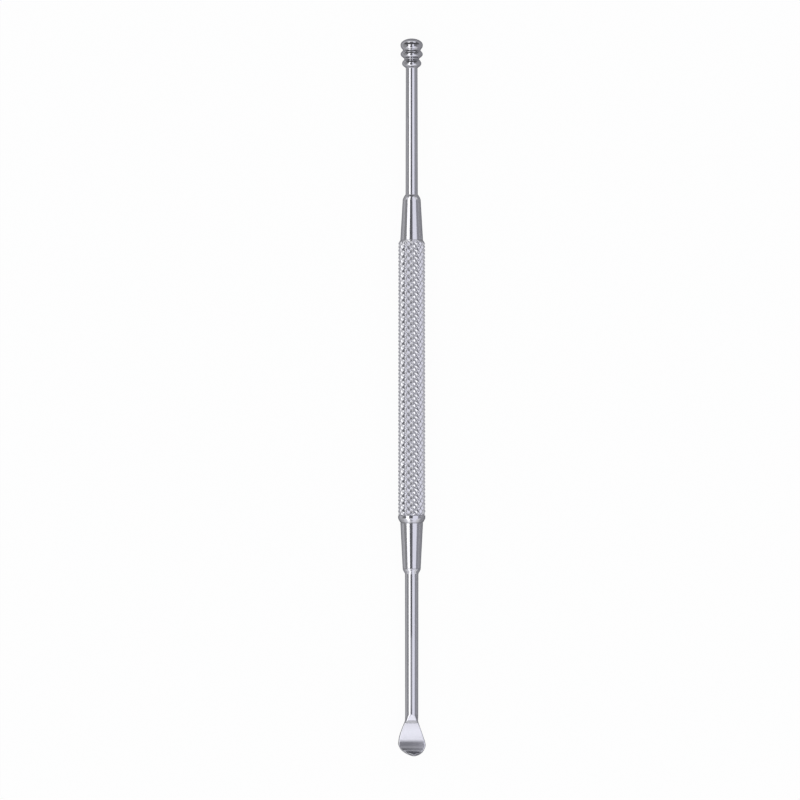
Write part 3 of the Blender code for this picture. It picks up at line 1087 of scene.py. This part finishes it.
@dataclass
class ScoopTip(Piece):
    """The scoop tip: shank, shoulder and shaft, pressed flat and curled up at its end.

    Past the neck the front runs down an entry, a step, the ramp and a bend to the belly, and then
    up the curl. A fullness is a section's power: 2 for an ellipse and more for a squarer form.
    skew lists how far the middle was bent off the axis, at reaches past the neck.
    """

    node: str = "scoop_tip"
    name: str = "scoop_tip_curled"
    slot: Slot = Slot.POLISHED
    facing: Facing = Facing.SCOOP
    shank_length: float = 7.0 * MM
    shank_radius: float = 1.0 * MM
    shoulder_radius: float = 1.63 * MM
    shoulder_length: float = 1.0 * MM
    shaft_length: float = 25.35 * MM
    shaft_radius: float = 1.215 * MM
    neck_radius: float = 1.185 * MM
    lead_in: float = 0.2 * MM
    edge: float = 0.04 * MM
    width: float = 4.98 * MM
    entry_length: float = 1.15 * MM
    entry_angle: float = math.radians(20)
    entry_power: float = 1.6
    step_length: float = 0.45 * MM
    step_angle: float = math.radians(35)
    ramp_length: float = 2.8 * MM
    ramp_angle: float = math.radians(17)
    bend_length: float = 0.9 * MM
    belly_length: float = 0.15 * MM
    curl_radius: float = 1.84 * MM
    curl_angle: float = math.radians(68)
    blade: float = 0.62 * MM
    rim: float = 0.45 * MM
    flare_power: float = 1.2
    neck_fullness: float = 2.0
    blade_fullness: float = 2.8
    rim_fullness: float = 5.0
    edge_depth: float = 0.15 * MM
    outline_angle: float = math.radians(82)
    front_points: int = 28
    corner_points: int = 6
    back_points: int = 72
    left_corner: float = 0.25 * MM
    right_corner: float = 0.14 * MM
    curl_corner: float = 0.08 * MM
    corner_limit: float = 0.6
    corner_fade: float = math.radians(12)
    rim_spread: float = 0.3
    flare_steps: tuple[int, ...] = (12, 6, 24, 10, 5)
    curl_steps: int = 32
    rim_steps: int = 6
    shoulder_steps: int = 16
    arc_steps: int = 360
    skew: tuple[tuple[float, float], ...] = (
        (0.0, 0.0),
        (2.6 * MM, -0.1 * MM),
        (4.0 * MM, -0.09 * MM),
        (5.1 * MM, 0.0),
        (6.3 * MM, 0.12 * MM),
        (7.6 * MM, 0.4 * MM),
    )

    def seat(self) -> float:
        """Finds where the shoulder meets its collar, along the tool."""
        return self.box()[1].y - self.shank_length

    def neck(self) -> float:
        """Finds where the turned shaft ends and the pressed scoop starts, along the tool."""
        return self.seat() - self.shoulder_length - self.shaft_length

    def lengths(self) -> tuple[float, float, float, float]:
        """Works out where the scoop's lines lie.

        Returns:
            The reaches of the ramp's end, the widest line, the curl's start and the tip.
        """
        ramp_end = self.entry_length + self.step_length + self.ramp_length + self.bend_length
        widest = ramp_end + self.belly_length / 2
        curl_start = ramp_end + self.belly_length
        tip = curl_start + (self.curl_radius + self.rim) * math.sin(self.curl_angle)
        return ramp_end, widest, curl_start, tip

    def centre_shift(self, reach: float) -> float:
        """Tells how far the scoop's middle is off the tool's axis.

        Args:
            reach: the distance past the neck.

        Returns:
            The distance, towards +X.
        """
        for (start, low), (end, high) in zip(self.skew, self.skew[1:]):
            if reach <= end:
                return between((low, high), eased((reach - start) / (end - start)))
        return self.skew[-1][1]

    def front_drop(self, reach: float) -> float:
        """Tells how far the pressed front lies below the top of the neck.

        Args:
            reach: the distance past the neck.

        Returns:
            The drop.
        """
        drop = 0.0
        left = reach
        for length, angle in (
            (self.entry_length, self.entry_angle),
            (self.step_length, self.step_angle),
            (self.ramp_length, self.ramp_angle),
        ):
            drop += min(left, length) * math.tan(angle)
            left = max(left - length, 0.0)
        bend = min(left, self.bend_length)
        return drop + bend * (1 - bend / self.bend_length / 2) * math.tan(self.ramp_angle)

    def half_width(self, reach: float) -> float:
        """Gives half the scoop's width at a distance past the neck.

        Args:
            reach: the distance past the neck.

        Returns:
            Half the width.
        """
        _, widest, _, tip = self.lengths()
        if reach > widest:
            share = min((reach - widest) / (tip - widest), 1.0)
            turn = math.asin(math.sin(self.outline_angle) * share)
            return self.width / 2 * math.cos(turn)
        share = min(max((reach - self.entry_length) / (widest - self.entry_length), 0.0), 1.0)
        curved = math.sin(math.pi / 2 * share) ** self.flare_power
        return between((self.neck_radius, self.width / 2), (share + curved) / 2)

    def flare_section(self, reach: float) -> Section:
        """Shapes a section on the way down to the belly.

        Args:
            reach: its distance past the neck.

        Returns:
            The section.
        """
        ramp_end, _, _, _ = self.lengths()
        share = eased(reach / ramp_end)
        front_up = self.neck_radius - self.front_drop(reach)
        belly = self.neck_radius - self.front_drop(ramp_end)
        back_up = (belly - self.blade) * share - self.neck_radius * (1 - share)
        return Section(
            reach=reach,
            front_up=front_up,
            tilt=0.0,
            thickness=front_up - back_up,
            half_width=self.half_width(reach),
            widest_depth=max(front_up, self.edge_depth),
            fullness=between((self.neck_fullness, self.blade_fullness), share),
            shift=self.centre_shift(reach),
        )

    def curl_section(self, reach: float) -> Section:
        """Shapes a section on the curled end.

        Args:
            reach: the distance past the neck of its back.

        Returns:
            The section.
        """
        ramp_end, _, curl_start, _ = self.lengths()
        outer = self.curl_radius + self.rim
        tilt = math.asin(min((reach - curl_start) / outer, 1.0))
        share = tilt / self.curl_angle
        belly = self.neck_radius - self.front_drop(ramp_end)
        return Section(
            reach=curl_start + self.curl_radius * math.sin(tilt),
            front_up=belly + self.curl_radius * (1 - math.cos(tilt)),
            tilt=tilt,
            thickness=between((self.blade, self.rim), share),
            half_width=self.half_width(reach),
            widest_depth=self.edge_depth,
            fullness=between((self.blade_fullness, self.rim_fullness), share),
            shift=self.centre_shift(reach),
        )

    def sections(self) -> list[Section]:
        """Lists the scoop's sections from just past its neck to its tip.

        Returns:
            The sections, in order.
        """
        ramp_end, widest, curl_start, tip = self.lengths()
        spans = (
            (self.entry_length, self.entry_power),
            (self.step_length, 1.0),
            (self.ramp_length, 1.0),
            (self.bend_length, 1.0),
            (self.belly_length, 1.0),
        )
        found = []
        start = 0.0
        for (length, power), steps in zip(spans, self.flare_steps):
            for step in range(1, steps + 1):
                found.append(self.flare_section(start + length * (step / steps) ** power))
            start += length
        full = math.sin(self.outline_angle)
        first = math.asin(full * (curl_start - widest) / (tip - widest))
        for step in range(1, self.curl_steps + 1):
            turn = between((first, self.outline_angle), step / self.curl_steps)
            found.append(self.curl_section(between((widest, tip), math.sin(turn) / full)))
        return found

    def flat_outline(self, section: Section) -> list[Vector]:
        """Lists a section's points as (across, depth below the front), clockwise from the left.

        Args:
            section: the section.

        Returns:
            The points of the front, the right edge's corner, the back and the left corner.
        """
        power = 2 / section.fullness
        half_height = section.thickness - section.widest_depth
        rise = min(section.widest_depth / half_height, 1.0)
        start = math.asin(rise ** (1 / power))
        arc = []
        for step in range(self.arc_steps + 1):
            angle = start - (math.pi + 2 * start) * step / self.arc_steps
            wide, tall = math.cos(angle), math.sin(angle)
            across = math.copysign(abs(wide) ** power, wide) * section.half_width
            depth = section.widest_depth - half_height * math.copysign(abs(tall) ** power, tall)
            arc.append(Vector((across, max(depth, 0.0))))
        edge = arc[0].x
        curled = eased(section.tilt / self.corner_fade)
        first, last = (
            min(between((size, self.curl_corner), curled), edge * self.corner_limit)
            for size in (self.left_corner, self.right_corner)
        )
        back = self.trimmed(arc, last, first)
        span = 2 * edge - first - last
        front = [
            Vector((first - edge + span * step / (self.front_points - 1), 0.0))
            for step in range(self.front_points)
        ]
        right = self.corner(front[-1], Vector((edge, 0.0)), back[0])
        left = self.corner(back[-1], Vector((-edge, 0.0)), front[0])
        return front + right + back + left

    def corner(self, start: Vector, middle: Vector, end: Vector) -> list[Vector]:
        """Lists the points that round a corner.

        Args:
            start: the last point before the corner.
            middle: the corner.
            end: the first point after it.

        Returns:
            The points between those two.
        """
        count = self.corner_points + 1
        return [on_curve(start, middle, end, step / count) for step in range(1, count)]

    def trimmed(self, arc: Sequence[Vector], start: float, end: float) -> list[Vector]:
        """Spaces the back's points evenly along an arc, short of its ends.

        Args:
            arc: the closely spaced arc.
            start: the length that is left off its start.
            end: the length that is left off its end.

        Returns:
            The evenly spaced points.
        """
        reach = [0.0]
        for first, second in zip(arc, arc[1:]):
            reach.append(reach[-1] + (second - first).length)
        points = []
        place = 0
        for step in range(self.back_points):
            share = step / (self.back_points - 1)
            goal = start + (reach[-1] - start - end) * share
            while reach[place + 1] < goal and place < len(arc) - 2:
                place += 1
            span = max(reach[place + 1] - reach[place], 1e-9)
            points.append(arc[place].lerp(arc[place + 1], (goal - reach[place]) / span))
        return points

    def ring(self, section: Section, seat: float, shrink: float = 1.0) -> list[Vector]:
        """Places a section's points in the frame.

        Args:
            section: the section.
            seat: the place along the tool of the neck.
            shrink: the section's scale about its own middle.

        Returns:
            The points.
        """
        middle = section.thickness / 2
        row = []
        for point in self.flat_outline(section):
            depth = middle + (point.y - middle) * shrink
            across = point.x * between((self.rim_spread, 1.0), shrink) + section.shift
            up = section.front_up - depth * math.cos(section.tilt)
            reach = section.reach + depth * math.sin(section.tilt)
            row.append(Vector((across, seat - reach, AXIS_HEIGHT + up)))
        return row

    def shaft(self) -> Outline:
        """Lists the turned half's outline, from the shank's end to the neck.

        Returns:
            The outline's (radius, reach) points, with each reach measured from the seat.
        """
        neck = self.shoulder_length + self.shaft_length
        points = rounded(
            [
                Corner(0.0, -self.shank_length),
                Corner(self.shank_radius - self.lead_in, -self.shank_length, self.edge),
                Corner(self.shank_radius, self.lead_in - self.shank_length, self.edge),
                Corner(self.shank_radius, 0.0, self.edge),
                Corner(self.shoulder_radius, 0.0),
            ]
        )
        points.append((self.shoulder_radius, self.edge))
        for step in range(1, self.shoulder_steps + 1):
            share = step / self.shoulder_steps
            radius = between((self.shaft_radius, self.shoulder_radius), eased(1 - share))
            points.append((radius, self.shoulder_length * share))
        points.append((self.shaft_radius, self.shoulder_length + 0.1 * MM))
        points.append((self.neck_radius, neck - 0.2 * MM))
        points.append((self.neck_radius, neck))
        return points

    def build(self) -> bpy.types.Mesh:
        """Makes the tip: the turned half, then the pressed and curled half.

        Returns:
            The tip's mesh.
        """
        seat, neck = self.seat(), self.neck()
        around = self.neck_angles()
        loft = Loft(self.name)
        for radius, reach in self.shaft():
            angles = around if radius > POLE_RADIUS else [0.0]
            loft.add([on_tool(radius, angle, seat - reach) for angle in angles])
        sections = self.sections()
        for section in sections:
            loft.add(self.ring(section, neck))
        last = sections[-1]
        for step in range(1, self.rim_steps):
            turn = math.pi / 2 * step / self.rim_steps
            onward = self.rim / 2 * math.sin(turn)
            rounding = last._replace(
                reach=last.reach + onward * math.cos(last.tilt),
                front_up=last.front_up + onward * math.sin(last.tilt),
            )
            loft.add(self.ring(rounding, neck, math.cos(turn)))
        loft.add([sum(loft.rows[-1], Vector()) / len(loft.rows[-1])])
        return loft.mesh()

    def neck_angles(self) -> list[float]:
        """Lists the angles round the shaft that the points of a section start from.

        Returns:
            One angle for each point of a section.
        """
        count = self.back_points
        corner = [0.0] * self.corner_points
        back = [math.tau * step / (count - 1) for step in range(count)]
        return [0.0] * self.front_points + corner + back + corner

    def dress(self, mesh: bpy.types.Mesh) -> None:
        """Gives the tip its polished steel and sets it in place.

        Args:
            mesh: the tip's mesh.
        """
        finish = PressedSteel(
            "polished_steel_scoop",
            roughness=0.1,
            # Painted shade darkens the seam at the shoulder, which is also rougher.
            crevices=(self.seat(),),
            press_line=self.neck(),
        )
        self.settle(mesh, finish, math.radians(30))


# The studio.


class Card(NamedTuple):
    """A glowing card of the far light tent, a part of a sphere round the tool.

    across is measured in degrees from straight up towards +X, and along from there towards +Y.
    """

    name: str
    across: tuple[float, float]
    along: tuple[float, float]
    radius: float
    glow: tuple[float, float, float]

    def place(self, column: float, row: float) -> Vector:
        """Places the point at two shares of the card's spans, each from 0 to 1."""
        across = math.radians(between(self.across, column))
        return on_sphere(self.radius, across, math.radians(between(self.along, row)))


class Bar(NamedTuple):
    """A glowing bar near the tool, a part of a cylinder round it, which only mirrors see.

    across is measured as for a card, and reach and distance in millimetres.
    """

    name: str
    across: tuple[float, float]
    reach: tuple[float, float]
    distance: float
    glow: tuple[float, float, float]

    def place(self, column: float, row: float) -> Vector:
        """Places the point at two shares of the bar's spans, each from 0 to 1."""
        across = math.radians(between(self.across, column))
        return on_tool(self.distance * MM, across, between(self.reach, row) * MM)


@dataclass
class Studio:
    """The pale floor, the soft light tent, the bars near the tool and the camera.

    In the steel's mirror the floor shows painted shade to the right of the tool and painted light
    beside the grip.
    """

    floor_half: float = 5.0
    floor_tone: Tone = (0.93, 0.93, 0.93, 1.0)
    seen_share: float = 0.955
    mirrored_share: float = 0.5
    mirrored_left: Tone = (0.5, 0.5, 0.5, 1.0)
    mirrored_right: Tone = (0.12, 0.12, 0.14, 1.0)
    mirrored_turn: float = 15 * MM
    mirrored_grip: Tone = (0.85, 0.85, 0.9, 1.0)
    grip_reach: tuple[float, float] = (-20 * MM, 28 * MM)
    grip_shade: tuple[float, float] = (4 * MM, 8 * MM)
    grip_fade: float = 2 * MM
    patch_cells: int = 48
    camera_height: float = 1.2
    sensor: float = 36.0
    view_width: float = 144.96 * MM
    camera_x: float = -2.12 * MM
    camera_y: float = -0.5 * MM
    cards: tuple[Card, ...] = (
        Card("tent_shell", (-89.9, 89.9), (-89.9, 89.9), 1.5, (0.95, 0.95, 0.98)),
        Card("near_card", (-24, 12), (-64, -24), 1.48, (1.45, 1.45, 1.55)),
        Card("gap", (-24, 12), (-24, 75), 1.46, (0.17, 0.17, 0.185)),
        Card("left_side", (-88, -50), (-22, 22), 1.44, (0.37, 0.37, 0.375)),
        Card("right_side", (51, 88), (-22, 22), 1.42, (0.4, 0.4, 0.44)),
    )
    bars: tuple[Bar, ...] = (
        Bar("left_bar", (-51, -21), (-98, 68), 20.0, (2.0, 2.0, 2.02)),
        Bar("right_bar", (9, 52), (-98, 68), 20.0, (1.2, 1.2, 1.33)),
        Bar("nose_gap", (-21, 9), (28, 68), 19.8, (0.17, 0.17, 0.185)),
        Bar("scoop_gap_1", (-21, 9), (-57, -44), 20.2, (0.4, 0.4, 0.43)),
        Bar("scoop_gap_2", (-21, 9), (-67, -57), 20.2, (0.28, 0.28, 0.31)),
        Bar("scoop_gap_3", (-21, 9), (-70, -67), 20.2, (0.6, 0.6, 0.65)),
        Bar("scoop_gap_4", (-21, 9), (-74, -70), 20.2, (1.0, 1.0, 1.07)),
        Bar("ramp_bar", (-21, 9), (-98, -74), 20.2, (1.45, 1.45, 1.55)),
        Bar("tip_flag", (-90, 90), (-79, -69.5), 9.0, (0.22, 0.22, 0.23)),
        Bar("tip_left", (-100, -52), (-69.5, -58), 9.0, (0.28, 0.28, 0.285)),
        Bar("tip_right", (52, 100), (-69.5, -58), 9.0, (0.3, 0.3, 0.32)),
        Bar("band_shade", (-64, -40), (-22.9, -21.4), 8.0, (0.25, 0.25, 0.26)),
        Bar("end_flag", (-62, 62), (68.2, 116), 20.0, (0.18, 0.18, 0.19)),
        Bar("dome_left", (-80, -34), (77, 104), 8.8, (1.9, 1.9, 1.92)),
        Bar("dome_right", (28, 78), (77, 104), 8.8, (1.7, 1.7, 1.85)),
        Bar("head_left", (-96, -51), (50, 84), 14.0, (0.42, 0.42, 0.425)),
        Bar("head_right", (52, 96), (50, 84), 14.0, (0.44, 0.44, 0.47)),
        Bar("head_spot_left", (-31, -11), (60.5, 64.6), 9.0, (2.0, 2.0, 2.02)),
        Bar("head_spot_right", (4, 21), (60.5, 64.3), 9.0, (1.2, 1.2, 1.33)),
        Bar("head_shade_left", (-54, -31), (58.4, 64.9), 9.0, (0.26, 0.26, 0.265)),
        Bar("head_shade_right", (21, 54), (58.4, 64.9), 9.0, (0.26, 0.26, 0.275)),
        Bar("head_flag", (-80, 80), (64.9, 88), 9.2, (0.12, 0.12, 0.125)),
    )

    def glow(self, name: str, tone: Sequence[float]) -> bpy.types.Material:
        """Makes the material of a glowing surface.

        Args:
            name: the material's name.
            tone: its colour, in which 1 is white.

        Returns:
            The material.
        """
        material = bpy.data.materials.new(name)
        sheet = Sheet(material)
        sheet.end(sheet.add("ShaderNodeEmission", {}, {"Color": (*tone, 1.0), "Strength": 1.0}))
        return material

    def patch(self, light: Card | Bar) -> bpy.types.Object:
        """Adds a card or a bar, which the camera does not see and which casts no shadow.

        Args:
            light: the card or bar.

        Returns:
            Its glowing patch.
        """
        cells = self.patch_cells
        shares = [step / cells for step in range(cells + 1)]
        points = [light.place(column, row) for row in shares for column in shares]
        faces = []
        for row in range(cells):
            for column in range(cells):
                first = row * (cells + 1) + column
                faces.append((first, first + cells + 1, first + cells + 2, first + 1))
        mesh = bpy.data.meshes.new(light.name)
        mesh.from_pydata(points, [], faces)
        mesh.materials.append(self.glow(f"{light.name}_glow", light.glow))
        patch = bpy.data.objects.new(light.name, mesh)
        bpy.context.scene.collection.objects.link(patch)
        patch.visible_camera = False
        patch.visible_shadow = False
        patch.visible_diffuse = isinstance(light, Card)
        return patch

    def tent(self) -> list[bpy.types.Object]:
        """Adds the light tent: the far cards and the bars near the tool."""
        return [self.patch(light) for light in (*self.cards, *self.bars)]

    def floor(self) -> bpy.types.Object:
        """Adds the floor, which is pale to the eye and keeps the tool's soft shadow.

        Returns:
            The floor.
        """
        half = self.floor_half
        mesh = bpy.data.meshes.new("floor")
        corners = [(-half, -half, 0.0), (half, -half, 0.0), (half, half, 0.0), (-half, half, 0.0)]
        mesh.from_pydata(corners, [], [(0, 1, 2, 3)])
        mesh.materials.append(self.paper())
        floor = bpy.data.objects.new("floor", mesh)
        bpy.context.scene.collection.objects.link(floor)
        return floor

    def paper(self) -> bpy.types.Material:
        """Makes the floor's paper: pale to the eye, with painted shade and painted light in
        mirrors, clear from below.

        Returns:
            The material.
        """
        material = bpy.data.materials.new("floor_paper")
        sheet = Sheet(material)
        ray = {
            name: sheet.add("ShaderNodeLightPath", {}, {}, name)
            for name in ("Is Camera Ray", "Is Glossy Ray", "Is Transmission Ray")
        }
        mirrored = ray["Is Glossy Ray"] + ray["Is Transmission Ray"]
        share = ray["Is Camera Ray"] * self.seen_share + mirrored * self.mirrored_share
        place = sheet.place()
        # In mirrors the floor is painted: darker to the right of the tool, standing in for its
        # shadow, and lighter beside the grip.
        side = sheet.part(place, "X")
        turned = side.step(-self.mirrored_turn, self.mirrored_turn)
        reflected = sheet.blend(turned, self.mirrored_left, self.mirrored_right)
        low, high = self.grip_reach
        reach = sheet.part(place, "Y")
        beside = reach.step(low - self.grip_fade, low) - reach.step(high, high + self.grip_fade)
        lit = beside * side.size().step(*self.grip_shade)
        reflected = sheet.blend(lit, reflected, self.mirrored_grip)
        tone = sheet.blend(ray["Is Camera Ray"], reflected, WHITE)
        paper = sheet.add("ShaderNodeBsdfDiffuse", {}, {"Color": self.floor_tone})
        white = sheet.add("ShaderNodeEmission", {}, {"Color": tone})
        front = sheet.add("ShaderNodeMixShader", {}, {0: share, 1: paper, 2: white})
        behind = sheet.add("ShaderNodeNewGeometry", {}, {}, "Backfacing")
        clear = sheet.add("ShaderNodeBsdfTransparent", {}, {})
        sheet.end(sheet.add("ShaderNodeMixShader", {}, {0: behind, 1: front, 2: clear}))
        return material

    def world(self) -> None:
        """Makes the world plain white."""
        world = bpy.data.worlds.new("studio")
        bpy.context.scene.world = world
        sheet = Sheet(world)
        light = sheet.add("ShaderNodeBackground", {}, {"Color": WHITE})
        sheet.end(light, "ShaderNodeOutputWorld")

    def camera(self) -> None:
        """Adds the camera, straight above the tool and looking down."""
        data = bpy.data.cameras.new("camera")
        data.sensor_width = self.sensor
        data.lens = self.sensor * (self.camera_height - AXIS_HEIGHT) / self.view_width
        data.clip_start = 0.05
        data.clip_end = 20.0
        camera = bpy.data.objects.new("camera", data)
        camera.location = (self.camera_x, self.camera_y, self.camera_height)
        bpy.context.scene.collection.objects.link(camera)
        bpy.context.scene.camera = camera

    def build(self) -> None:
        """Sets the studio up round the tool."""
        self.floor()
        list(self.tent())
        self.world()
        self.camera()
        bpy.context.scene.view_settings.view_transform = "Standard"
        LOG.info("studio: floor, %d cards, %d bars, camera", len(self.cards), len(self.bars))


def main() -> None:
    """Builds the tool piece by piece, and then the studio round it."""
    logging.basicConfig(level=logging.INFO, format="%(name)s: %(message)s")
    ringed_collar = Collar(
        "ring_collar",
        "collar_ringed_end",
        cone_length=7.22 * MM,
        nose_length=1.0 * MM,
        bore_radius=1.135 * MM,
    )
    scoop_collar = Collar("scoop_collar", "collar_scoop_end", facing=Facing.SCOOP)
    for piece in (GripTube(), ringed_collar, scoop_collar, RingedTip(), ScoopTip()):
        piece.dress(piece.build())
    Studio().build()


if __name__ == "__main__":
    main()
